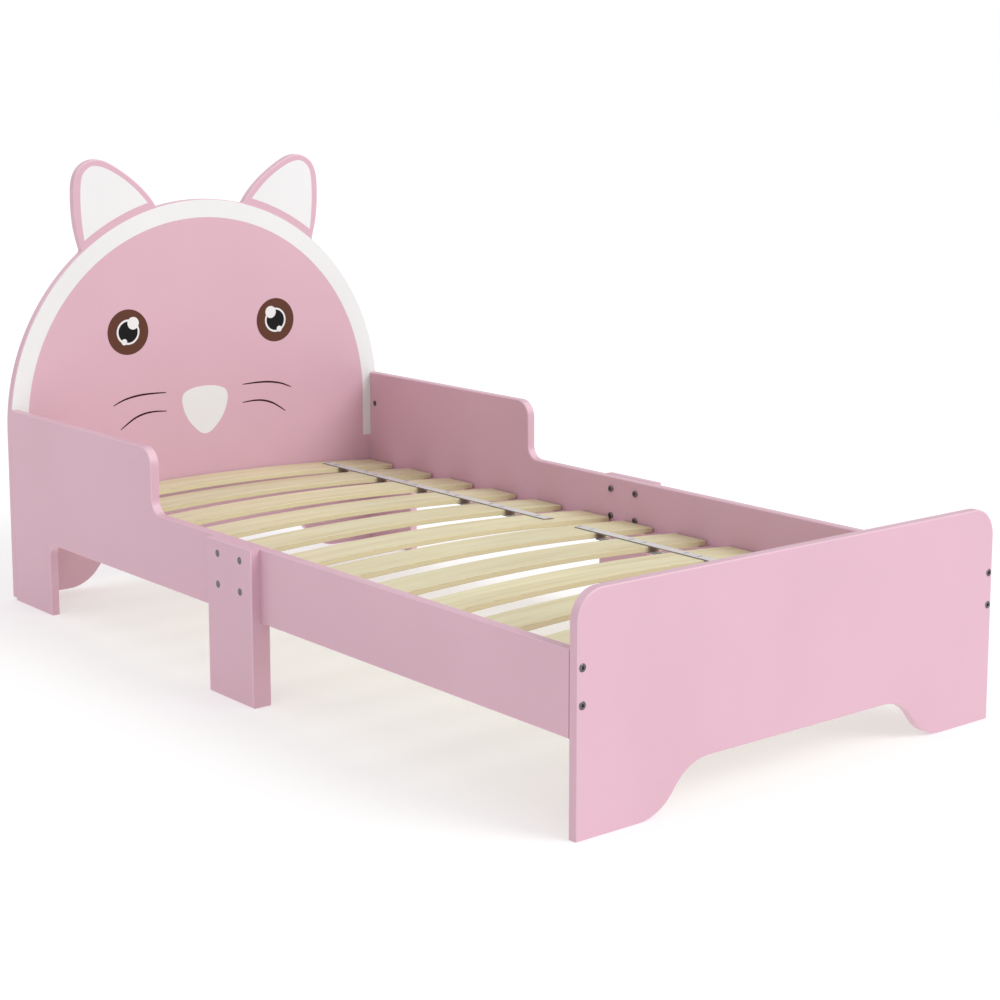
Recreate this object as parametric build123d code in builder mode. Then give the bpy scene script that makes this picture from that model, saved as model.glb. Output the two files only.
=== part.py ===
from build123d import *
import os

# Toddler bed with a cat-shaped headboard, in millimetres.
# +Z is up and Z = 0 is the floor. The origin lies under the middle of the mattress rectangle.
# The footboard is at -Y, the headboard at +Y, and "left" is the -X side.

# Driving sizes
bed_length = 1430
bed_width = 735
board = 15
edge_round = 2.5
half_length = bed_length / 2
half_width = bed_width / 2
inner_half_width = half_width - board
inner_half_length = half_length - board

# Side boards: a plain rail at the foot half, a stepped panel with a guard and a leg at the head half
rail_bottom = 118
rail_top = 223
guard_top = 320
guard_start = 240
guard_top_radius = 28
guard_foot_radius = 22
seam_chamfer = 0.6
head_leg_width = 125
head_leg_radius = 20

# Headboard: a half round as wide as the bed, with two ears
headboard_clearance = 5
head_centre_z = 284.5
ear_outline = [
    (80, 630),
    (88, 645),
    (125, 685.5),
    (163, 712),
    (200, 724.5),
    (229, 711),
    (241.5, 661),
    (238, 611),
    (224, 560),
]
ear_root_radius = 6
ear_root_share = 0.5

# Footboard
footboard_top = 292.6
footboard_corner = 38

# The arch that is cut under both end boards
arch_height = 59.5
arch_floor_half_width = 272
arch_top_half_width = 157

# Middle legs: an outer plate over the joint between the side boards, and a block under them
mid_leg_y = 1.5
mid_leg_width = 115

# Ledges that carry the slats
ledge_size = 20
ledge_top = 149
ledge_gap = 4

# Slats: two packs of six bowed slats, each pack held together by two straps
slat_width = 70
slat_thickness = 8
slat_bow = 14
slat_half_length = 349
slat_seat = 18
slat_pitch = 119
slat_edge_round = 1.5
slats_per_pack = 6
head_pack_back = 696
foot_pack_back = -2
strap_x = 239.5
strap_width = 20
strap_thickness = 1.6
strap_inset = 20
staple_width = 10
staple_wire = 1
staple_height = 0.6

# Bolts with their nuts, dowels and screws
bolt_radius = 3
bolt_hole_radius = 3.3
bolt_head_radius = 5.3
bolt_head_height = 3
bolt_head_proud = 0.6
button_head_height = 2.5
socket_radius = 2.3
socket_depth = 1.6
head_rim_round = 1
bolt_past_nut = 4
foot_bolt_heights = [159.6, 203.6]
head_bolt_heights = [60, 263]
barrel_inset = 15
barrel_radius = 5
barrel_hole_radius = 5.1
barrel_length = 12
barrel_hole_depth = 12.5
mid_bolt_spacing_y = 57.5
mid_bolt_spacing_z = 44
mid_bolt_z = 181.6
sleeve_radius = 4.2
sleeve_hole_radius = 4.3
sleeve_length = 12
sleeve_head_radius = 5.3
sleeve_head_height = 1.5
mid_bolt_tip_gap = 2
dowel_radius = 4
dowel_hole_radius = 4.05
dowel_reach = 13
dowel_hole_depth = 14
foot_dowel_heights = [137]
head_dowel_heights = [125, 195]
screw_radius = 1.75
screw_head_radius = 3.8
screw_head_height = 2.4
screw_tip_depth = 10
fit = 0.01
ledge_screw_inset = 45
ledge_screws_each = 4
block_dowel_heights = [30, 88]
block_dowel_spread = 70
block_dowel_reach = 10
block_dowel_hole_depth = 11

# Worked out from the sizes above
mid_bolt_spots = [
    (mid_leg_y + side * mid_bolt_spacing_y / 2, mid_bolt_z + row * mid_bolt_spacing_z / 2)
    for side in (-1, 1)
    for row in (-1, 1)
]
block_dowel_spots = [
    (mid_leg_y + side * block_dowel_spread / 2, height)
    for side in (-1, 1)
    for height in block_dowel_heights
]
ledge_spans = {
    "foot": (-inner_half_length + ledge_gap, mid_leg_y - ledge_gap),
    "head": (mid_leg_y + ledge_gap, inner_half_length - ledge_gap),
}
pack_backs = {"head": head_pack_back, "foot": foot_pack_back}
pack_length = (slats_per_pack - 1) * slat_pitch + slat_width
end_sides = {"foot": -1, "head": 1}
bed_sides = {"left": -1, "right": 1}
board_middle = half_width - board / 2
ledge_face = inner_half_width - ledge_size
mid_shank_length = 2 * board - sleeve_head_height - mid_bolt_tip_gap
ledge_middle_z = ledge_top - ledge_size / 2
slat_top = ledge_top + slat_thickness
seat_end = slat_half_length - slat_seat


def save(builder, name):
    """Label one finished piece and write it as a STEP file."""
    builder.part.label = name
    export_step(builder.part, f"parts/{name}.step")


def round_work(plane, spots, radius, depth, mode=Mode.ADD):
    """Add or cut round pegs that start on a plane, in the part being built."""
    with BuildSketch(plane) as circles:
        with Locations(*spots):
            Circle(radius)
    extrude(circles.sketch, amount=depth, mode=mode)


def finish_heads(plane, spots, depth):
    """Round the outer rims of bolt heads that end on a plane, and cut a hexagon socket into each."""
    outer_faces = faces().filter_by(lambda face: abs((face.center() - plane.origin).dot(plane.z_dir)) < fit)
    fillet([edge for face in outer_faces for edge in face.edges()], head_rim_round)
    with BuildSketch(plane) as hexagons:
        with Locations(*spots):
            RegularPolygon(socket_radius, 6)
    extrude(hexagons.sketch, amount=depth, mode=Mode.SUBTRACT)


def cross_plane(y):
    """Plane square to the bed's length. Sketch axes are X and Z; positive depths go towards -Y."""
    return Plane.XZ.offset(-y)


def side_plane(x):
    """Plane square to the bed's width. Sketch axes are Y and Z; positive depths go towards +X."""
    return Plane.YZ.offset(x)


def arch_under(floor):
    """The opening under an end board: two feet with S-shaped flanks and a flat crown."""
    shoulder = (arch_floor_half_width + arch_top_half_width) / 2
    crown = floor + arch_height
    with BuildSketch(Plane.XZ) as arch:
        with BuildLine():
            foot_right = TangentArc(
                (arch_floor_half_width, floor), (shoulder, floor + arch_height / 2), tangent=(-1, 0)
            )
            TangentArc(foot_right @ 1, (arch_top_half_width, crown), tangent=foot_right % 1)
            foot_left = TangentArc(
                (-arch_floor_half_width, floor), (-shoulder, floor + arch_height / 2), tangent=(1, 0)
            )
            TangentArc(foot_left @ 1, (-arch_top_half_width, crown), tangent=foot_left % 1)
            Line((-arch_top_half_width, crown), (arch_top_half_width, crown))
            Line((-arch_floor_half_width, floor), (arch_floor_half_width, floor))
        make_face()
    return arch.sketch


def round_board_edges(axis):
    """Round the long edges on both faces of a board; edges along its thickness stay as cut."""
    through = edges().filter_by(axis)
    fillet([edge for edge in edges() if edge not in through], edge_round)


def bowed_line(height):
    """The bowed upper line of a slat, or of what lies on it, seen from the foot."""
    return ThreePointArc((-slat_half_length, height), (0, height + slat_bow), (slat_half_length, height))


def under_line(height):
    """The bowed lower line of a slat between its seats, or of what lies under it."""
    return ThreePointArc((-seat_end, height), (0, height + slat_bow), (seat_end, height))


def slat_outline():
    """A slat seen from the foot: bowed, with a short flat seat under each end."""
    with BuildSketch(Plane.XZ) as outline:
        with BuildLine():
            bowed_line(slat_top)
            Polyline((-slat_half_length, slat_top), (-slat_half_length, ledge_top), (-seat_end, ledge_top))
            under_line(ledge_top)
            Polyline((seat_end, ledge_top), (slat_half_length, ledge_top), (slat_half_length, slat_top))
        make_face()
    return outline.sketch


def strap_strip(lower_line, bottom, upper_line, top, width, x):
    """A strap's section seen from the foot: between two bowed lines and within the strap's width."""
    with BuildSketch(Plane.XZ) as strip:
        with BuildLine():
            lower = lower_line(bottom)
            upper = upper_line(top)
            Line(lower @ 0, upper @ 0)
            Line(lower @ 1, upper @ 1)
        make_face()
        with Locations((x, (bottom + top + slat_bow) / 2)):
            Rectangle(width, 4 * slat_bow, mode=Mode.INTERSECT)
    return strip.sketch


def moved_to(sketch, y):
    """A sketch drawn on the XZ plane, moved along the bed."""
    return Location((0, y, 0)) * sketch


os.makedirs("parts", exist_ok=True)


# Headboard
with BuildPart() as headboard:
    with BuildSketch(Plane.XZ) as cat_head:
        with Locations((0, head_centre_z)):
            Circle(half_width)
        with Locations((0, head_centre_z)):
            Rectangle(bed_width, half_width * 2, align=(Align.CENTER, Align.MAX))
        with BuildLine():
            ear_curve = Spline(*ear_outline)
            Line(ear_curve @ 0, ear_curve @ 1)
        make_face()
        mirror(about=Plane.YZ)
        with Locations((0, headboard_clearance)):
            Rectangle(bed_width, bed_width * 2, align=(Align.CENTER, Align.MIN), mode=Mode.INTERSECT)
        ear_roots = cat_head.vertices().filter_by_position(Axis.Y, bed_width * ear_root_share, bed_width)
        fillet(ear_roots, ear_root_radius)
        add(arch_under(headboard_clearance), mode=Mode.SUBTRACT)
    extrude(moved_to(cat_head.sketch, half_length), amount=board)
    round_board_edges(Axis.Y)
    head_bolt_spots = [(side * board_middle, z) for side in (-1, 1) for z in head_bolt_heights]
    head_dowel_spots = [(side * board_middle, z) for side in (-1, 1) for z in head_dowel_heights]
    round_work(cross_plane(half_length), head_bolt_spots, bolt_hole_radius, board, Mode.SUBTRACT)
    round_work(
        cross_plane(half_length), head_bolt_spots, bolt_head_radius, bolt_head_height, Mode.SUBTRACT
    )
    round_work(
        cross_plane(inner_half_length),
        head_dowel_spots,
        dowel_hole_radius,
        -dowel_hole_depth,
        Mode.SUBTRACT,
    )
save(headboard, "headboard")

# Footboard
with BuildPart() as footboard:
    with BuildSketch(Plane.XZ) as foot_face:
        with BuildLine():
            top_line = Polyline(
                (-half_width, 0), (-half_width, footboard_top), (half_width, footboard_top), (half_width, 0)
            )
            Line(top_line @ 1, top_line @ 0)
        make_face()
        fillet(foot_face.vertices().group_by(Axis.Y)[-1], footboard_corner)
        add(arch_under(0), mode=Mode.SUBTRACT)
    extrude(moved_to(foot_face.sketch, -inner_half_length), amount=board)
    round_board_edges(Axis.Y)
    foot_bolt_spots = [(side * board_middle, z) for side in (-1, 1) for z in foot_bolt_heights]
    foot_dowel_spots = [(side * board_middle, z) for side in (-1, 1) for z in foot_dowel_heights]
    round_work(cross_plane(-half_length), foot_bolt_spots, bolt_hole_radius, -board, Mode.SUBTRACT)
    round_work(
        cross_plane(-half_length), foot_bolt_spots, bolt_head_radius, -bolt_head_height, Mode.SUBTRACT
    )
    round_work(
        cross_plane(-inner_half_length),
        foot_dowel_spots,
        dowel_hole_radius,
        dowel_hole_depth,
        Mode.SUBTRACT,
    )
save(footboard, "footboard")


def fitting_holes(side, end_side, bolt_heights, dowel_heights, span):
    """Holes in a side board: end bolts, barrel nuts, dowels, middle-leg bolts and ledge screws."""
    bolt_spots = [(side * board_middle, z) for z in bolt_heights]
    dowel_spots = [(side * board_middle, z) for z in dowel_heights]
    barrel_spots = [(end_side * (inner_half_length - barrel_inset), z) for z in bolt_heights]
    end_face = cross_plane(end_side * inner_half_length)
    inner_face = side_plane(side * inner_half_width)
    round_work(end_face, bolt_spots, bolt_hole_radius, end_side * 2 * barrel_inset, Mode.SUBTRACT)
    round_work(end_face, dowel_spots, dowel_hole_radius, end_side * dowel_hole_depth, Mode.SUBTRACT)
    round_work(inner_face, barrel_spots, barrel_hole_radius, side * barrel_hole_depth, Mode.SUBTRACT)
    near_seam = [spot for spot in mid_bolt_spots if (spot[0] - mid_leg_y) * end_side > 0]
    round_work(inner_face, near_seam, bolt_hole_radius, side * board, Mode.SUBTRACT)
    round_work(inner_face, ledge_screw_spots(span), screw_radius, side * screw_tip_depth, Mode.SUBTRACT)


def ledge_screw_spots(span):
    """Screw positions along one ledge."""
    first = span[0] + ledge_screw_inset
    step = (span[1] - span[0] - 2 * ledge_screw_inset) / (ledge_screws_each - 1)
    return [(first + i * step, ledge_middle_z) for i in range(ledge_screws_each)]


# Side boards, ledges, middle-leg plates and blocks, the same on both sides of the bed
for side_name, side in bed_sides.items():
    with BuildPart() as head_panel:
        leg_start = inner_half_length - head_leg_width
        step_y = guard_start - guard_foot_radius
        with BuildSketch(side_plane(side * half_width)) as panel_face:
            with BuildLine():
                Polyline(
                    (mid_leg_y, rail_top),
                    (mid_leg_y, rail_bottom),
                    (leg_start - head_leg_radius, rail_bottom),
                )
                TangentArc(
                    (leg_start - head_leg_radius, rail_bottom),
                    (leg_start, rail_bottom - head_leg_radius),
                    tangent=(1, 0),
                )
                Polyline(
                    (leg_start, rail_bottom - head_leg_radius),
                    (leg_start, 0),
                    (inner_half_length, 0),
                    (inner_half_length, guard_top),
                    (guard_start + guard_top_radius, guard_top),
                )
                TangentArc(
                    (guard_start + guard_top_radius, guard_top),
                    (guard_start, guard_top - guard_top_radius),
                    tangent=(-1, 0),
                )
                Line(
                    (guard_start, guard_top - guard_top_radius), (guard_start, rail_top + guard_foot_radius)
                )
                TangentArc(
                    (guard_start, rail_top + guard_foot_radius), (step_y, rail_top), tangent=(0, -1)
                )
                Line((step_y, rail_top), (mid_leg_y, rail_top))
            make_face()
        extrude(amount=-side * board)
        end_faces = faces().filter_by(Axis.Y)
        joint_edges = (end_faces.sort_by(Axis.Y)[0].edges() + end_faces.sort_by(Axis.Y)[-1].edges())
        across = edges().filter_by(Axis.X)
        fillet([edge for edge in edges() if edge not in across and edge not in joint_edges], edge_round)
        chamfer(faces().filter_by(Axis.Y).sort_by(Axis.Y)[0].edges(), seam_chamfer)
        fitting_holes(side, 1, head_bolt_heights, head_dowel_heights, ledge_spans["head"])
    save(head_panel, f"head_side_panel_{side_name}")

    with BuildPart() as foot_rail:
        rail_middle = (mid_leg_y - inner_half_length) / 2
        with BuildSketch(side_plane(side * half_width)):
            with Locations((rail_middle, (rail_top + rail_bottom) / 2)):
                Rectangle(mid_leg_y + inner_half_length, rail_top - rail_bottom)
        extrude(amount=-side * board)
        fillet(edges().filter_by(Axis.Y), edge_round)
        chamfer(faces().filter_by(Axis.Y).sort_by(Axis.Y)[-1].edges(), seam_chamfer)
        fitting_holes(side, -1, foot_bolt_heights, foot_dowel_heights, ledge_spans["foot"])
    save(foot_rail, f"foot_side_rail_{side_name}")

    with BuildPart() as leg_plate:
        with BuildSketch(side_plane(side * half_width)):
            with Locations((mid_leg_y, rail_top / 2)):
                Rectangle(mid_leg_width, rail_top)
        extrude(amount=side * board)
        outer_face = faces().sort_by(Axis.X)[-1 if side > 0 else 0]
        fillet(outer_face.edges(), edge_round)
        inner_plane = side_plane(side * half_width)
        outer_plane = side_plane(side * (half_width + board))
        round_work(inner_plane, mid_bolt_spots, sleeve_hole_radius, side * board, Mode.SUBTRACT)
        round_work(
            outer_plane, mid_bolt_spots, sleeve_head_radius, -side * sleeve_head_height, Mode.SUBTRACT
        )
        round_work(
            inner_plane, block_dowel_spots, dowel_hole_radius, side * block_dowel_hole_depth, Mode.SUBTRACT
        )
    save(leg_plate, f"mid_leg_plate_{side_name}")

    with BuildPart() as leg_block:
        with BuildSketch(side_plane(side * half_width)):
            with Locations((mid_leg_y, rail_bottom / 2)):
                Rectangle(mid_leg_width, rail_bottom)
        extrude(amount=-side * board)
        inner_face_edges = faces().sort_by(Axis.X)[0 if side > 0 else -1].edges()
        fillet(inner_face_edges, edge_round)
        block_outer = side_plane(side * half_width)
        round_work(
            block_outer, block_dowel_spots, dowel_hole_radius, -side * block_dowel_hole_depth, Mode.SUBTRACT
        )
    save(leg_block, f"mid_leg_block_{side_name}")

    for end_name, span in ledge_spans.items():
        with BuildPart() as ledge:
            with BuildSketch(side_plane(side * inner_half_width)):
                with Locations(((span[0] + span[1]) / 2, ledge_middle_z)):
                    Rectangle(span[1] - span[0], ledge_size)
            extrude(amount=-side * ledge_size)
            ledge_inner = side_plane(side * ledge_face)
            screw_spots = ledge_screw_spots(span)
            round_work(ledge_inner, screw_spots, screw_radius, side * ledge_size, Mode.SUBTRACT)
            round_work(
                ledge_inner, screw_spots, screw_head_radius, side * screw_head_height, Mode.SUBTRACT
            )
        save(ledge, f"{end_name}_ledge_{side_name}")

# Slats, straps and staples of both packs
slat_face = slat_outline()
for pack_name, pack_back in pack_backs.items():
    slat_backs = [pack_back - i * slat_pitch for i in range(slats_per_pack)]
    for number, slat_back in enumerate(slat_backs, start=1):
        with BuildPart() as slat:
            extrude(moved_to(slat_face, slat_back), amount=slat_width)
            front_and_back = [faces().sort_by(Axis.Y)[0], faces().sort_by(Axis.Y)[-1]]
            long_edges = [edge for face in front_and_back for edge in face.edges()]
            upright = edges().filter_by(Axis.Z)
            fillet([edge for edge in long_edges if edge not in upright], slat_edge_round)
        save(slat, f"{pack_name}_slat_{number}")

    slat_fronts = [slat_back - slat_width for slat_back in slat_backs]
    strap_back = pack_back - strap_inset
    strap_length = pack_length - 2 * strap_inset
    web_bottom = ledge_top - strap_thickness / 2
    web_top = slat_top + strap_thickness / 2
    band_bottom = ledge_top - strap_thickness
    for side_name, side in bed_sides.items():
        x = side * strap_x
        with BuildPart() as strap:
            ribbon = strap_strip(
                bowed_line, slat_top, bowed_line, slat_top + strap_thickness, strap_width, x
            )
            extrude(moved_to(ribbon, strap_back), amount=strap_length)
            band = strap_strip(under_line, band_bottom, under_line, ledge_top, strap_width, x)
            extrude(moved_to(band, slat_fronts[0]), amount=slat_fronts[0] - slat_backs[-1])
            web = strap_strip(under_line, web_bottom, bowed_line, web_top, strap_width, x)
            for slat_front in slat_fronts[:-1]:
                extrude(moved_to(web, slat_front), amount=strap_thickness)
            for slat_back in slat_backs[1:]:
                extrude(moved_to(web, slat_back), amount=-strap_thickness)
        save(strap, f"{pack_name}_strap_{side_name}")

    with BuildPart() as staples:
        strap_top = slat_top + strap_thickness
        for side in bed_sides.values():
            x = side * strap_x
            wire = strap_strip(
                bowed_line, strap_top, bowed_line, strap_top + staple_height, staple_width, x
            )
            for slat_back in slat_backs:
                for share in (0.3, 0.7):
                    extrude(moved_to(wire, slat_back - share * slat_width), amount=staple_wire)
    save(staples, f"{pack_name}_staples")

# Bolts and barrel nuts that hold the end boards, with a dowel or two beside them
for end_name, end_side in end_sides.items():
    heights = foot_bolt_heights if end_side < 0 else head_bolt_heights
    dowel_heights = foot_dowel_heights if end_side < 0 else head_dowel_heights
    bolt_spots = [(side * board_middle, z) for side in (-1, 1) for z in heights]
    dowel_spots = [(side * board_middle, z) for side in (-1, 1) for z in dowel_heights]
    outer_y = end_side * (half_length + bolt_head_proud)
    shank_y = end_side * (half_length - bolt_head_height)
    shank_length = board - bolt_head_height + barrel_inset + bolt_past_nut
    with BuildPart() as end_bolts:
        head_depth = bolt_head_height + bolt_head_proud
        round_work(cross_plane(outer_y), bolt_spots, bolt_head_radius, end_side * head_depth)
        round_work(cross_plane(shank_y), bolt_spots, bolt_radius, end_side * shank_length)
        finish_heads(cross_plane(outer_y), bolt_spots, end_side * socket_depth)
    save(end_bolts, f"{end_name}board_bolts")

    with BuildPart() as barrel_nuts:
        barrel_spots = [(end_side * (inner_half_length - barrel_inset), z) for z in heights]
        for side in bed_sides.values():
            nut_face = inner_half_width + barrel_hole_depth - barrel_length
            round_work(side_plane(side * nut_face), barrel_spots, barrel_radius, side * barrel_length)
        thread_depth = end_side * 3 * barrel_inset
        round_work(cross_plane(shank_y), bolt_spots, bolt_radius, thread_depth, Mode.SUBTRACT)
    save(barrel_nuts, f"{end_name}board_barrel_nuts")

    with BuildPart() as dowels:
        dowel_start = end_side * (inner_half_length + dowel_reach)
        round_work(cross_plane(dowel_start), dowel_spots, dowel_radius, end_side * 2 * dowel_reach)
    save(dowels, f"{end_name}board_dowels")

# Bolts through the side boards into sleeve nuts in the middle-leg plates
with BuildPart() as mid_leg_bolts:
    for side in bed_sides.values():
        head_plane = side_plane(side * (inner_half_width - button_head_height))
        shank_plane = side_plane(side * inner_half_width)
        round_work(head_plane, mid_bolt_spots, bolt_head_radius, side * button_head_height)
        round_work(shank_plane, mid_bolt_spots, bolt_radius, side * mid_shank_length)
        finish_heads(head_plane, mid_bolt_spots, side * socket_depth)
save(mid_leg_bolts, "mid_leg_bolts")

with BuildPart() as sleeve_nuts:
    for side in bed_sides.values():
        nut_plane = side_plane(side * (half_width + board))
        round_work(nut_plane, mid_bolt_spots, sleeve_head_radius, -side * sleeve_head_height)
        round_work(nut_plane, mid_bolt_spots, sleeve_radius, -side * sleeve_length)
        shank_plane = side_plane(side * inner_half_width)
        round_work(shank_plane, mid_bolt_spots, bolt_radius, side * mid_shank_length, Mode.SUBTRACT)
save(sleeve_nuts, "mid_leg_sleeve_nuts")

# Countersunk screws of the ledges
with BuildPart() as ledge_screws:
    for side in bed_sides.values():
        for span in ledge_spans.values():
            face = side_plane(side * ledge_face)
            spots = ledge_screw_spots(span)
            round_work(face, spots, screw_radius, side * (ledge_size + screw_tip_depth))
            round_work(face, spots, screw_head_radius, side * screw_head_height)
save(ledge_screws, "ledge_screws")

# Dowels between the middle-leg plates and blocks
with BuildPart() as block_dowels:
    for side in bed_sides.values():
        dowel_plane = side_plane(side * (half_width - block_dowel_reach))
        round_work(dowel_plane, block_dowel_spots, dowel_radius, side * 2 * block_dowel_reach)
save(block_dowels, "mid_leg_block_dowels")
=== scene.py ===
import math

import bmesh
import bpy
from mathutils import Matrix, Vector


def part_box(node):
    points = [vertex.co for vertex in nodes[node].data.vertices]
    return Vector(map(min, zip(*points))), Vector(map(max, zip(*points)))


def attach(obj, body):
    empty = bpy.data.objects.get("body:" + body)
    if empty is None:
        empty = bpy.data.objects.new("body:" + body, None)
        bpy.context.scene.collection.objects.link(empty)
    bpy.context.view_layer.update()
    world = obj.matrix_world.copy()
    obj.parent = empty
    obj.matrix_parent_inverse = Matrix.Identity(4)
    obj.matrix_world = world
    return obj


# Toddler bed with a cat-shaped headboard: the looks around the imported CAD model, in metres.

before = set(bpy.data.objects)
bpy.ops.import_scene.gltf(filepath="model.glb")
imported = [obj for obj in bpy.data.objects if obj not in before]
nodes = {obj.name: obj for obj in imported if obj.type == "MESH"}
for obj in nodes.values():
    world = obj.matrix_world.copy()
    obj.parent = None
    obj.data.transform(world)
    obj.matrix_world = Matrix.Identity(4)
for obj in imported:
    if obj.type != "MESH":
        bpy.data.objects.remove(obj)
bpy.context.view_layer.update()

# Places read from the frame
head_low, head_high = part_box("headboard")
head_face_y = head_low.y
head_radius = (head_high.x - head_low.x) / 2

# Cat face: sizes of the printed shapes, in metres; outlines are (x, z) points on the headboard's face
face_centre_z = 0.2845
film = 0.0002
base_layer, ring_layer, pupil_layer, glint_layer = 1, 2, 3, 4
rim_inset = 0.0012
band_width = 0.0315
band_end_z = 0.204
eye_x = 0.1474
eye_z = 0.4322
eye_radius = 0.0388
white_ring_radius = 0.0216
pupil_radius = 0.0182
# Glints in the eyes: towards the nose, up, radius
big_glint = (0.0098, 0.0146, 0.01075)
small_glint = (-0.0078, -0.0165, 0.0053)
inset_foot_radius = 0.379
ear_inset = [
    (0.1035, 0.6500), (0.1250, 0.6725), (0.1440, 0.6880), (0.1630, 0.7002), (0.1817, 0.7096),
    (0.1970, 0.7137), (0.2078, 0.7130), (0.2175, 0.7070), (0.2248, 0.6970), (0.2280, 0.6800),
    (0.2290, 0.6600), (0.2284, 0.6350), (0.2264, 0.6100), (0.2238, 0.5910),
]
nose_half = [
    (0.0, 0.3275), (0.0200, 0.3258), (0.0340, 0.3217), (0.0420, 0.3170), (0.0452, 0.3100), (0.0456, 0.3010),
    (0.0408, 0.2825), (0.0298, 0.2640), (0.0150, 0.2490), (0.0070, 0.2440), (0.0, 0.2425),
]
upper_whisker = [(0.0770, 0.3222), (0.1050, 0.3230), (0.1310, 0.3220), (0.1570, 0.3172), (0.1790, 0.3084)]
lower_whisker = [
    (0.0765, 0.2897), (0.0980, 0.2912), (0.1180, 0.2898), (0.1360, 0.2846), (0.1500, 0.2770),
    (0.1662, 0.2662),
]
whisker_width = 0.0032
whisker_tip = 0.35

# Camera: a refit of the photograph's camera with a smaller lens shift; angles in degrees, focus in pixels
camera_place = (-1.8321, -2.3928, 0.8518)
camera_tilt = 81.208
camera_turn = -38.891
camera_focus = 2058.1
camera_shift = 0.1
image_width = 1000
sensor_width = 36

# Light
key_from = (0.40, -0.74, 0.54)
key_strength = 1.30
key_spread = 35
floor_size = 60
floor_shade = 0.62
floor_cloud_shades = (0.61, 0.63)
floor_glow = 0.42

# Slats: how much each one differs from the next
slats_per_pack = 6
grain_step = 0.37
tint_swing = 0.03
tint_pace = 2.4

# Materials: the middle part of a noise that is used, and how square to an axis a flat or rounded face looks
noise_low, noise_high = 0.25, 0.75
flat_normal, rounded_normal = 0.99, 0.80
# Painted shade at a slat's ends: where it starts and is full along the slat, in metres, and how strong it
# gets
end_shade_start, end_shade_full, end_shade = 0.30, 0.35, 0.45


# ---------------------------------------------------------------- materials


def new_material(name, colour, roughness):
    """A material with its shader, and texture coordinates in the object's own metres."""
    material = bpy.data.materials.new(name)
    material.use_nodes = True
    tree = material.node_tree
    shader = tree.nodes["Principled BSDF"]
    shader.inputs["Base Color"].default_value = (*colour, 1)
    shader.inputs["Roughness"].default_value = roughness
    where = tree.nodes.new("ShaderNodeTexCoord").outputs["Object"]
    return material, tree, shader, where


def noise(tree, where, scale, detail=4.0, roughness=0.55, stretch=(1, 1, 1)):
    """Noise of a given scale per metre, stretched along an axis by a small factor."""
    mapping = tree.nodes.new("ShaderNodeMapping")
    mapping.inputs["Scale"].default_value = stretch
    tree.links.new(where, mapping.inputs["Vector"])
    texture = tree.nodes.new("ShaderNodeTexNoise")
    texture.inputs["Scale"].default_value = scale
    texture.inputs["Detail"].default_value = detail
    texture.inputs["Roughness"].default_value = roughness
    tree.links.new(mapping.outputs["Vector"], texture.inputs["Vector"])
    return texture.outputs["Fac"]


def ramp(tree, value, stops):
    """A colour ramp from (position, colour) pairs."""
    node = tree.nodes.new("ShaderNodeValToRGB")
    elements = node.color_ramp.elements
    while len(elements) < len(stops):
        elements.new(0.5)
    for element, (position, colour) in zip(elements, stops):
        element.position = position
        element.color = (*colour, 1)
    tree.links.new(value, node.inputs["Fac"])
    return node.outputs["Color"]


def remap(tree, value, low, high):
    """Spread a noise value between two numbers."""
    node = tree.nodes.new("ShaderNodeMapRange")
    node.inputs["From Min"].default_value = noise_low
    node.inputs["From Max"].default_value = noise_high
    node.inputs["To Min"].default_value = low
    node.inputs["To Max"].default_value = high
    tree.links.new(value, node.inputs["Value"])
    return node.outputs["Result"]


def mix(tree, factor, first, second, blend="MIX"):
    """Mix two colours; factor, first and second are sockets or fixed values."""
    node = tree.nodes.new("ShaderNodeMix")
    node.data_type = "RGBA"
    node.blend_type = blend
    for socket, value in ((node.inputs[0], factor), (node.inputs[6], first), (node.inputs[7], second)):
        if hasattr(value, "links"):
            tree.links.new(value, socket)
        elif isinstance(value, tuple):
            socket.default_value = (*value, 1)
        else:
            socket.default_value = value
    return node.outputs[2]


def bump(tree, shader, height, distance, strength=1.0, below=None):
    """Raise the surface by a height in metres, on top of an earlier bump if there is one."""
    node = tree.nodes.new("ShaderNodeBump")
    node.inputs["Distance"].default_value = distance
    node.inputs["Strength"].default_value = strength
    tree.links.new(height, node.inputs["Height"])
    if below is not None:
        tree.links.new(below, node.inputs["Normal"])
    tree.links.new(node.outputs["Normal"], shader.inputs["Normal"])
    return node.outputs["Normal"]


def edge_factor(tree):
    """1 on rounded edges, where the surface looks along none of the object's own axes."""
    normal = tree.nodes.new("ShaderNodeTexCoord").outputs["Normal"]
    size = tree.nodes.new("ShaderNodeVectorMath")
    size.operation = "ABSOLUTE"
    tree.links.new(normal, size.inputs[0])
    split = tree.nodes.new("ShaderNodeSeparateXYZ")
    tree.links.new(size.outputs["Vector"], split.inputs["Vector"])
    largest = split.outputs["X"]
    for axis in ("Y", "Z"):
        node = tree.nodes.new("ShaderNodeMath")
        node.operation = "MAXIMUM"
        tree.links.new(largest, node.inputs[0])
        tree.links.new(split.outputs[axis], node.inputs[1])
        largest = node.outputs["Value"]
    node = tree.nodes.new("ShaderNodeMapRange")
    node.inputs["From Min"].default_value = flat_normal
    node.inputs["From Max"].default_value = rounded_normal
    tree.links.new(largest, node.inputs["Value"])
    return node.outputs["Result"]


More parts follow.
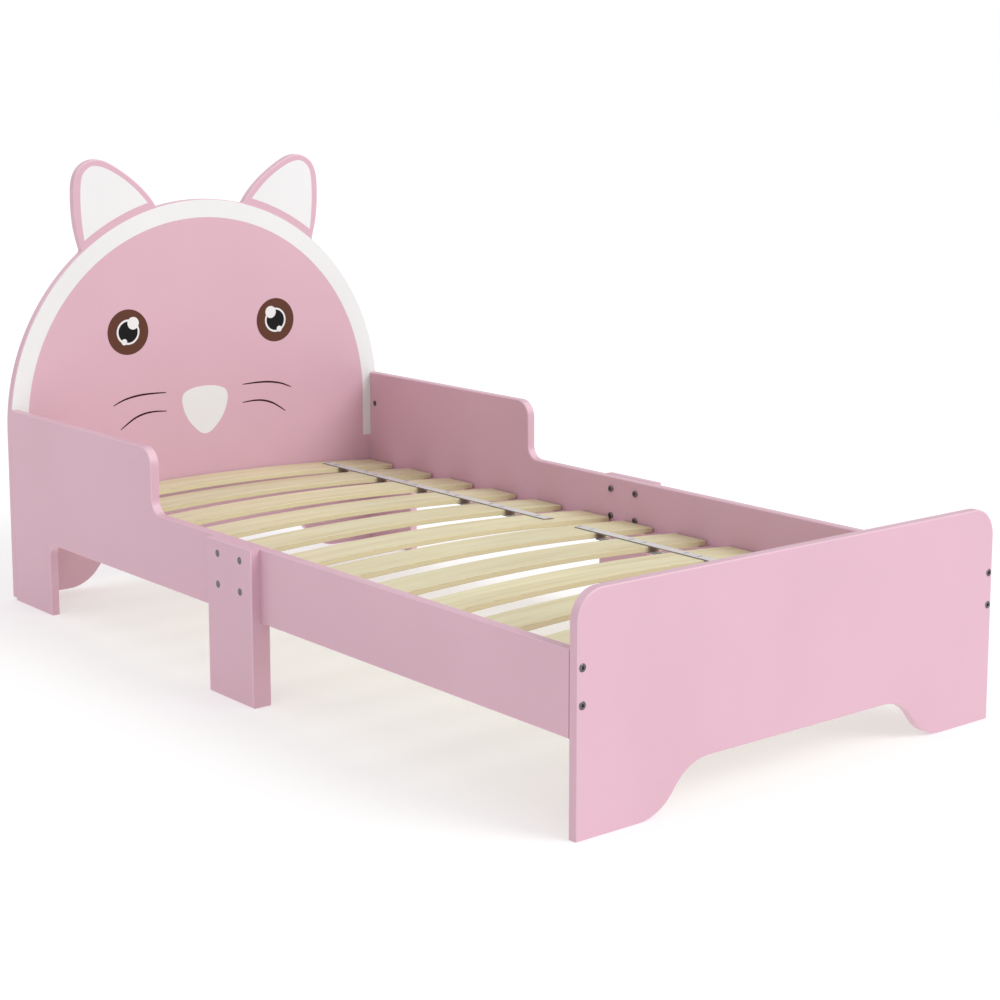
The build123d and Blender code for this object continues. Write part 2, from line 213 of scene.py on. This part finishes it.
def lacquer(name, colour, roughness=0.34, gloss=0.3):
    """Satin lacquer on board: faint clouding, roller stipple, and rounded edges a little lighter, partly
    rubbed paint and partly a painted highlight of the gloss on the rims.
    """
    material, tree, shader, where = new_material(name, colour, roughness)
    cloud = noise(tree, where, 3.0, 3.0)
    darker = tuple(c * 0.965 for c in colour)
    lighter = tuple(min(1.0, c * 1.02) for c in colour)
    body = ramp(tree, cloud, ((0.35, darker), (0.65, lighter)))
    # Rounded edges lighter in colour: partly rubbed paint, partly a painted highlight standing in for the
    # gloss on the rims.
    rubbed_edge_and_highlight = tuple(min(1.0, c + 0.09) for c in colour)
    tree.links.new(mix(tree, edge_factor(tree), body, rubbed_edge_and_highlight), shader.inputs["Base Color"])
    patches = noise(tree, where, 14.0, 3.0)
    tree.links.new(remap(tree, patches, roughness - 0.04, roughness + 0.05), shader.inputs["Roughness"])
    stipple = noise(tree, where, 420.0, 1.0)
    first = bump(tree, shader, stipple, 0.00001, 0.25)
    wave = noise(tree, where, 18.0, 2.0)
    bump(tree, shader, wave, 0.00008, 0.3, below=first)
    shader.inputs["Specular IOR Level"].default_value = gloss
    return material


def facing(tree, axis, low=0.5, high=0.8):
    """1 on faces square to one of the object's own axes, whichever way they look."""
    normal = tree.nodes.new("ShaderNodeTexCoord").outputs["Normal"]
    split = tree.nodes.new("ShaderNodeSeparateXYZ")
    tree.links.new(normal, split.inputs["Vector"])
    size = tree.nodes.new("ShaderNodeMath")
    size.operation = "ABSOLUTE"
    tree.links.new(split.outputs[axis], size.inputs[0])
    node = tree.nodes.new("ShaderNodeMapRange")
    node.inputs["From Min"].default_value = low
    node.inputs["From Max"].default_value = high
    tree.links.new(size.outputs["Value"], node.inputs["Value"])
    return node.outputs["Result"]


def painted_end_shade(tree, where, along):
    """0 over most of a slat's length, rising a little towards its ends: painted shade where the rails shade
    the ends.
    """
    split = tree.nodes.new("ShaderNodeSeparateXYZ")
    tree.links.new(where, split.inputs["Vector"])
    size = tree.nodes.new("ShaderNodeMath")
    size.operation = "ABSOLUTE"
    tree.links.new(split.outputs[along], size.inputs[0])
    node = tree.nodes.new("ShaderNodeMapRange")
    node.inputs["From Min"].default_value = end_shade_start
    node.inputs["From Max"].default_value = end_shade_full
    node.inputs["To Max"].default_value = end_shade
    tree.links.new(size.outputs["Value"], node.inputs["Value"])
    return node.outputs["Result"]


def bare_wood(name, light, middle, dark, along, seed_shift=0.0):
    """Sanded bare wood with darker cut edges, partly their own colour and partly painted shade, and painted
    shade at the ends; along is the number of the grain's axis, 0 for X.
    """
    material, tree, shader, where = new_material(name, middle, 0.55)
    shift = tree.nodes.new("ShaderNodeMapping")
    shift.inputs["Location"].default_value = (seed_shift, seed_shift * 0.7, 0)
    tree.links.new(where, shift.inputs["Vector"])
    place = shift.outputs["Vector"]
    long_way = tuple(0.05 if axis == along else 1.0 for axis in range(3))
    fine_way = tuple(0.012 if axis == along else 1.0 for axis in range(3))
    figure = noise(tree, place, 42.0, 5.0, 0.6, long_way)
    fibre = noise(tree, place, 620.0, 3.0, 0.6, fine_way)
    slow = noise(tree, place, 5.0, 2.0)
    grain = ramp(tree, figure, ((0.30, dark), (0.48, middle), (0.68, light)))
    strands = ramp(tree, fibre, ((0.35, (0.86, 0.84, 0.80)), (0.6, (1.0, 1.0, 1.0))))
    grained = mix(tree, 0.4, grain, strands, "MULTIPLY")
    tone = ramp(tree, slow, ((0.35, (0.95, 0.95, 0.96)), (0.65, (1.0, 0.99, 0.97))))
    toned = mix(tree, 1.0, grained, tone, "MULTIPLY")
    # Painted shade: the ends are mixed towards the dark grain colour.
    ends_shaded = mix(tree, painted_end_shade(tree, where, along), toned, dark)
    # Faces across the grain darker: partly the cut plywood edge's own colour, partly painted shade on the
    # slats' front faces.
    cut_edge_and_shade = tuple(c * 0.95 for c in dark)
    across = "X" if along == 1 else "Y"
    tree.links.new(mix(tree, facing(tree, across), ends_shaded, cut_edge_and_shade), shader.inputs["Base Color"])
    tree.links.new(remap(tree, fibre, 0.48, 0.64), shader.inputs["Roughness"])
    first = bump(tree, shader, fibre, 0.00006, 0.7)
    bump(tree, shader, figure, 0.00015, 0.4, below=first)
    return material


def webbing(name, colour, web_shade_colour):
    """Flat woven webbing: ribs across the strap, yarns along it, near-black side faces as a painted shadow
    line, and webs in a dark brown that is painted shade.
    """
    material, tree, shader, where = new_material(name, colour, 0.8)
    ribs = tree.nodes.new("ShaderNodeTexWave")
    ribs.bands_direction = "Y"
    ribs.inputs["Scale"].default_value = 190.0
    ribs.inputs["Distortion"].default_value = 0.6
    tree.links.new(where, ribs.inputs["Vector"])
    yarns = tree.nodes.new("ShaderNodeTexWave")
    yarns.bands_direction = "X"
    yarns.inputs["Scale"].default_value = 160.0
    yarns.inputs["Distortion"].default_value = 0.4
    tree.links.new(where, yarns.inputs["Vector"])
    weave = mix(tree, 0.5, ribs.outputs["Color"], yarns.outputs["Color"])
    fuzz = noise(tree, where, 60.0, 4.0)
    dark = tuple(c * 0.78 for c in colour)
    tone = ramp(tree, fuzz, ((0.3, tuple(c * 0.92 for c in colour)), (0.7, colour)))
    top = mix(tree, weave, mix(tree, 0.55, tone, dark), tone)
    # Painted shade: the strap's side faces are nearly black, a shadow line along its edges.
    side_shaded = mix(tree, facing(tree, "X"), top, tuple(c * 0.3 for c in colour))
    # Painted shade: faces across the strap, mostly the webs down the slats' front faces, take the dark
    # brown web colour.
    tree.links.new(mix(tree, facing(tree, "Y"), side_shaded, web_shade_colour), shader.inputs["Base Color"])
    bump(tree, shader, weave, 0.0003, 0.8)
    shader.inputs["Sheen Weight"].default_value = 0.15
    return material


def metal(name, colour, roughness, scratch=260.0):
    """Machined fastener metal with fine turning marks, small stains, and a painted highlight on the rounded
    rims.
    """
    material, tree, shader, where = new_material(name, colour, roughness)
    shader.inputs["Metallic"].default_value = 1.0
    stain = noise(tree, where, 240.0, 4.0)
    body = ramp(tree, stain, ((0.35, tuple(c * 0.75 for c in colour)), (0.65, colour)))
    # Painted highlight: the rounded rims of the heads are brightened in the colour.
    painted_rim_highlight = tuple(min(1.0, c * 1.8) for c in colour)
    tree.links.new(mix(tree, edge_factor(tree), body, painted_rim_highlight), shader.inputs["Base Color"])
    marks = noise(tree, where, scratch * 8, 2.0)
    tree.links.new(remap(tree, marks, roughness - 0.08, roughness + 0.12), shader.inputs["Roughness"])
    bump(tree, shader, marks, 0.00002, 0.5)
    return material


def give(material, *names):
    """Put one material on whole CAD nodes."""
    for name in names:
        mesh = nodes[name].data
        mesh.materials.clear()
        mesh.materials.append(material)


pink = (0.662, 0.417, 0.502)
pink_paint = lacquer("pink_lacquer", pink, 0.33, 0.26)
white_paint = lacquer("white_print", (0.775, 0.775, 0.785), 0.40, 0.22)
brown_paint = lacquer("iris_print", (0.115, 0.046, 0.032), 0.5, 0.06)
black_paint = lacquer("pupil_print", (0.012, 0.0125, 0.013), 0.5, 0.06)
plum_paint = lacquer("whisker_print", (0.050, 0.014, 0.022), 0.5, 0.06)
birch_light = (0.785, 0.745, 0.515)
birch_middle = (0.735, 0.675, 0.44)
birch_dark = (0.64, 0.56, 0.34)
beech = bare_wood("dowel_beech", (0.68, 0.50, 0.33), (0.60, 0.42, 0.26), (0.50, 0.34, 0.20), 1)
# Strap: the second colour is the dark brown of painted shade on the webs.
strap_cloth = webbing("strap_webbing", (0.70, 0.675, 0.665), (0.30, 0.20, 0.15))
dark_metal = metal("dark_zinc", (0.17, 0.155, 0.16), 0.22)
bright_metal = metal("plain_zinc", (0.52, 0.52, 0.53), 0.32)

give(pink_paint, "headboard", "footboard")
for side in ("left", "right"):
    give(pink_paint, f"head_side_panel_{side}", f"foot_side_rail_{side}")
    give(pink_paint, f"mid_leg_plate_{side}", f"mid_leg_block_{side}")
    for end in ("head", "foot"):
        give(pink_paint, f"{end}_ledge_{side}")
        give(strap_cloth, f"{end}_strap_{side}")
for end_number, end in enumerate(("head", "foot")):
    for number in range(1, slats_per_pack + 1):
        shift = grain_step * (number + slats_per_pack * end_number)
        tint = 1.0 + tint_swing * math.sin(tint_pace * number + end_number)
        birch = (birch_light, birch_middle, birch_dark)
        shades = [tuple(min(1.0, c * tint) for c in shade) for shade in birch]
        give(bare_wood(f"birch_{end}_{number}", *shades, 0, shift), f"{end}_slat_{number}")
    give(bright_metal, f"{end}_staples")
    give(dark_metal, f"{end}board_bolts", f"{end}board_barrel_nuts")
    give(beech, f"{end}board_dowels")
give(dark_metal, "mid_leg_bolts", "mid_leg_sleeve_nuts")
give(beech, "mid_leg_block_dowels")
give(pink_paint, "ledge_screws")


# ---------------------------------------------------------------- printed cat face


def arc(centre_x, centre_z, radius, start, end, steps):
    """Points of an arc in the headboard's face, angles in degrees."""
    points = []
    for step in range(steps + 1):
        angle = math.radians(start + (end - start) * step / steps)
        points.append((centre_x + radius * math.cos(angle), centre_z + radius * math.sin(angle)))
    return points


def circle(centre_x, centre_z, radius, count):
    """A closed circle of count points in the headboard's face."""
    return arc(centre_x, centre_z, radius, 0, 360 - 360 // count, count - 1)


def smooth_curve(points, steps=10):
    """A smooth open curve through the given points."""
    padded = [points[0]] + list(points) + [points[-1]]
    curve = []
    for i in range(1, len(padded) - 2):
        p0, p1, p2, p3 = (Vector(padded[i + k]) for k in (-1, 0, 1, 2))
        for step in range(steps):
            t = step / steps
            square = (2 * p0 - 5 * p1 + 4 * p2 - p3) * t**2
            cube = (3 * p1 - p0 - 3 * p2 + p3) * t**3
            spot = 0.5 * (2 * p1 + (p2 - p0) * t + square + cube)
            curve.append((spot.x, spot.y))
    curve.append(tuple(points[-1]))
    return curve


def print_shape(name, outline, material, layer=base_layer):
    """A thin printed film on the headboard's front face; a higher layer lies on top of a lower one."""
    mesh = bpy.data.meshes.new(name)
    shape = bmesh.new()
    back = head_face_y
    front = head_face_y - film * layer
    ring = [shape.verts.new((x, front, z)) for x, z in outline]
    rim = [shape.verts.new((x, back, z)) for x, z in outline]
    shape.faces.new(ring)
    for i in range(len(outline)):
        j = (i + 1) % len(outline)
        shape.faces.new((ring[i], ring[j], rim[j], rim[i]))
    bmesh.ops.recalc_face_normals(shape, faces=shape.faces)
    bmesh.ops.triangulate(shape, faces=[face for face in shape.faces if len(face.verts) > 4])
    shape.to_mesh(mesh)
    shape.free()
    piece = bpy.data.objects.new(name, mesh)
    bpy.context.collection.objects.link(piece)
    mesh.materials.append(material)
    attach(piece, "frame")
    return piece


def mirrored(points, side):
    """Points on the chosen side of the face."""
    return [(side * x, z) for x, z in points]


def ribbon(points, width):
    """Outline of a thin tapered stroke along a curve."""
    upper, lower = [], []
    last = len(points) - 1
    for i, (x, z) in enumerate(points):
        before = Vector(points[max(0, i - 1)])
        after = Vector(points[min(last, i + 1)])
        along = (after - before).normalized()
        half = width / 2 * (whisker_tip + (1 - whisker_tip) * math.sin(math.pi * i / last) ** 0.7)
        upper.append((x - along.y * half, z + along.x * half))
        lower.append((x + along.y * half, z - along.x * half))
    return upper + lower[::-1]


outer_radius = head_radius - rim_inset
inner_radius = head_radius - band_width
band_outer = arc(0, face_centre_z, outer_radius, 0, 180, 120)
band_inner = arc(0, face_centre_z, inner_radius, 180, 0, 120)
band = (
    [(outer_radius, band_end_z)] + band_outer + [(-outer_radius, band_end_z), (-inner_radius, band_end_z)]
    + band_inner + [(inner_radius, band_end_z)]
)
print_shape("white_band", band, white_paint)

nose = smooth_curve(nose_half) + mirrored(smooth_curve(nose_half)[-2:0:-1], -1)
print_shape("nose_print", nose, white_paint)

for side_name, side in (("left", -1), ("right", 1)):
    inset_top = smooth_curve(ear_inset)
    outer_angle = math.degrees(math.atan2(inset_top[-1][1] - face_centre_z, inset_top[-1][0]))
    inner_angle = math.degrees(math.atan2(inset_top[0][1] - face_centre_z, inset_top[0][0]))
    inset = inset_top + arc(0, face_centre_z, inset_foot_radius, outer_angle, inner_angle, 30)
    print_shape(f"ear_inset_{side_name}", mirrored(inset, side), white_paint)
    eye = side * eye_x
    print_shape(f"iris_{side_name}", circle(eye, eye_z, eye_radius, 120), brown_paint)
    white_ring = circle(eye, eye_z, white_ring_radius, 90)
    print_shape(f"eye_ring_{side_name}", white_ring, white_paint, ring_layer)
    print_shape(f"pupil_{side_name}", circle(eye, eye_z, pupil_radius, 90), black_paint, pupil_layer)
    for glint_name, (toward_nose, up, radius) in (("big", big_glint), ("small", small_glint)):
        spot = circle(eye - side * toward_nose, eye_z + up, radius, 45)
        print_shape(f"glint_{glint_name}_{side_name}", spot, white_paint, glint_layer)
    for whisker_name, points in (("upper", upper_whisker), ("lower", lower_whisker)):
        stroke = ribbon(smooth_curve(mirrored(points, side), 6), whisker_width)
        print_shape(f"whisker_{whisker_name}_{side_name}", stroke, plum_paint)


# ---------------------------------------------------------------- floor, light and camera


def make_floor():
    """A plain pale floor under the bed, which glows a little so that it stays near white."""
    bpy.ops.mesh.primitive_plane_add(size=floor_size, location=(0, 0, 0))
    floor = bpy.context.object
    floor.name = "studio_floor"
    material, tree, shader, where = new_material("studio_floor", (floor_shade,) * 3, 0.9)
    darker, lighter = floor_cloud_shades
    clouds = ramp(tree, noise(tree, where, 0.4), ((0.3, (darker,) * 3), (0.7, (lighter,) * 3)))
    tree.links.new(clouds, shader.inputs["Base Color"])
    shader.inputs["Emission Color"].default_value = (1, 1, 1, 1)
    shader.inputs["Emission Strength"].default_value = floor_glow
    floor.data.materials.append(material)


def make_sky():
    """A pale surround, brightest at the horizon and below it."""
    world = bpy.data.worlds.new("studio")
    world.use_nodes = True
    tree = world.node_tree
    direction = tree.nodes.new("ShaderNodeTexCoord").outputs["Generated"]
    split = tree.nodes.new("ShaderNodeSeparateXYZ")
    tree.links.new(direction, split.inputs["Vector"])
    shades = ramp(tree, split.outputs["Z"], ((0.045, (1.0,) * 3), (0.10, (0.75,) * 3), (0.9, (0.85,) * 3)))
    tree.links.new(shades, tree.nodes["Background"].inputs["Color"])
    bpy.context.scene.world = world


def make_key():
    """A wide soft light from the front right."""
    light = bpy.data.lights.new("key", "SUN")
    light.energy = key_strength
    light.angle = math.radians(key_spread)
    lamp = bpy.data.objects.new("key", light)
    lamp.rotation_euler = Vector(key_from).to_track_quat("Z", "Y").to_euler()
    bpy.context.collection.objects.link(lamp)


def make_camera():
    """The photograph's camera: a long lens, level sides, looking over the footboard from the left."""
    camera = bpy.data.cameras.new("camera")
    camera.sensor_width = sensor_width
    camera.lens = camera_focus / image_width * sensor_width
    camera.shift_y = -camera_shift
    eye = bpy.data.objects.new("camera", camera)
    eye.location = camera_place
    eye.rotation_euler = (math.radians(camera_tilt), 0, math.radians(camera_turn))
    bpy.context.collection.objects.link(eye)
    bpy.context.scene.camera = eye


make_floor()
make_sky()
make_key()
make_camera()
bpy.context.scene.view_settings.view_transform = "Standard"
